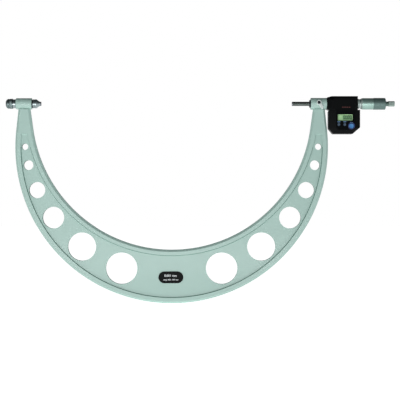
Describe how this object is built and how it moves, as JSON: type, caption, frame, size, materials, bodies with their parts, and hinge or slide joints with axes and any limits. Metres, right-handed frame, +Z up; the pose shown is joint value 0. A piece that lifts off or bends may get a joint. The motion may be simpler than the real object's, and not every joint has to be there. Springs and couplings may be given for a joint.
{
  "type": "outside micrometer",
  "caption": "Large digital outside micrometer: deep arch frame with lightening holes, interchangeable anvil, sliding spindle, thimble with ratchet, clamp lever and display unit.",
  "frame": {"origin": "centre of the anvil's measuring face", "axes": "+X along the measuring axis from anvil to spindle and thimble, +Z up with the arch hanging towards -Z, display facing -Y"},
  "size_m": [0.7361, 0.0325, 0.3914],
  "materials": {
    "hammertone": "pale grey-green hammertone enamel",
    "satin_chrome": "satin chrome",
    "bright_steel": "ground",
    "dark_steel": "black oxide",
    "carbide": "lapped",
    "brass": "turned",
    "black_plastic": "fine moulded texture",
    "black_label": "satin printed",
    "grey_button": "moulded",
    "blue_button": "moulded",
    "navy_ring": "printed",
    "clear_window": "polished",
    "lcd": "reflective liquid crystal",
    "board": "solder mask",
    "seal": "moulded"
  },
  "bodies": {
    "frame": {"adjusting_nut": "bright_steel", "anvil_seat_ring": "dark_steel", "anvil_sleeve": "bright_steel", "battery": "bright_steel", "battery_cap_seal": "seal", "battery_contact": "brass", "battery_holder": "black_plastic", "circuit_board": "board", "cover_screw_1": "dark_steel", "cover_screw_2": "dark_steel", "cover_screw_3": "dark_steel", "cover_screw_4": "dark_steel", "cover_seal": "seal", "display_module": "lcd", "display_window": "clear_window", "encoder_stator": "board", "face_panel": "black_label", "frame": "hammertone", "front_cover": "black_plastic", "head_bracket": "satin_chrome", "head_lock_screw": "dark_steel", "inner_sleeve": "bright_steel", "keypad_membrane": "seal", "label_plate": "black_label", "outer_sleeve": "satin_chrome", "port_connector": "grey_button", "port_cover": "black_plastic", "port_screw_1": "dark_steel", "port_screw_2": "dark_steel", "rear_cover": "black_plastic", "spindle_guide_bush": "dark_steel", "zero_button_guard": "navy_ring"},
    "rotor": {"encoder_rotor": "brass", "rotor_key": "bright_steel"},
    "spindle": {"spindle": "bright_steel", "spindle_tip": "carbide", "thimble": "satin_chrome", "ratchet_base": "dark_steel", "ratchet_screw": "dark_steel", "ratchet_spring": "bright_steel", "ratchet_click_ring": "brass"},
    "ratchet_knob": {"ratchet_knob": "satin_chrome"},
    "clamp_lever": {"clamp_lever": "satin_chrome", "clamp_screw": "dark_steel"},
    "clamp_shoe": {"clamp_shoe": "brass"},
    "hold_button": {"hold_button": "grey_button"},
    "set_button": {"set_button": "grey_button"},
    "zero_button": {"zero_button": "blue_button"},
    "anvil": {"anvil": "bright_steel", "anvil_tip": "carbide"},
    "anvil_nut": {"anvil_lock_nut": "bright_steel"},
    "battery_cap": {"battery_cap": "black_plastic"}
  },
  "joints": [
    {"name": "thimble_turn", "type": "hinge", "parent": "frame", "child": "rotor", "pos_m": [0.5512, 0, 0], "axis": [1, 0, 0], "range_deg": [0, 18060]},
    {"name": "spindle_travel", "type": "slide", "parent": "rotor", "child": "spindle", "axis": [1, 0, 0], "range_m": [0, 0.025]},
    {"name": "ratchet_turn", "type": "hinge", "parent": "spindle", "child": "ratchet_knob", "pos_m": [0.6573, 0, 0], "axis": [1, 0, 0], "continuous": true},
    {"name": "clamp_lever_turn", "type": "hinge", "parent": "frame", "child": "clamp_lever", "pos_m": [0.5252, -0.0134, 0.0018], "axis": [0, 1, 0], "range_deg": [0, 60.5]},
    {"name": "clamp_shoe_slide", "type": "slide", "parent": "frame", "child": "clamp_shoe", "axis": [0, 1, 0], "range_m": [0, 0.0002]},
    {"name": "hold_button_press", "type": "slide", "parent": "frame", "child": "hold_button", "axis": [0, 1, 0], "range_m": [0, 0.0008], "stiffness_N_per_m": 300},
    {"name": "set_button_press", "type": "slide", "parent": "frame", "child": "set_button", "axis": [0, 1, 0], "range_m": [0, 0.0008], "stiffness_N_per_m": 300},
    {"name": "zero_button_press", "type": "slide", "parent": "frame", "child": "zero_button", "axis": [0, 1, 0], "range_m": [0, 0.0008], "stiffness_N_per_m": 300},
    {"name": "anvil_nut_turn", "type": "hinge", "parent": "frame", "child": "anvil_nut", "pos_m": [-0.0535, 0, 0], "axis": [-1, 0, 0], "range_deg": [0, 2890]},
    {"name": "anvil_release", "type": "slide", "parent": "frame", "child": "anvil", "axis": [1, 0, 0], "range_m": [0, 0.008]},
    {"name": "battery_cap_turn", "type": "hinge", "parent": "frame", "child": "battery_cap", "pos_m": [0.561, 0.012, -0.035], "axis": [0, 1, 0], "range_deg": [0, 90]}
  ],
  "couplings": [
    {"joint": "thimble_turn", "follows": "spindle_travel", "rad_per_m": 12566},
    {"joint": "clamp_lever_turn", "follows": "clamp_shoe_slide", "rad_per_m": 5236},
    {"joint": "anvil_nut_turn", "follows": "anvil_release", "rad_per_m": 6283.2}
  ]
}
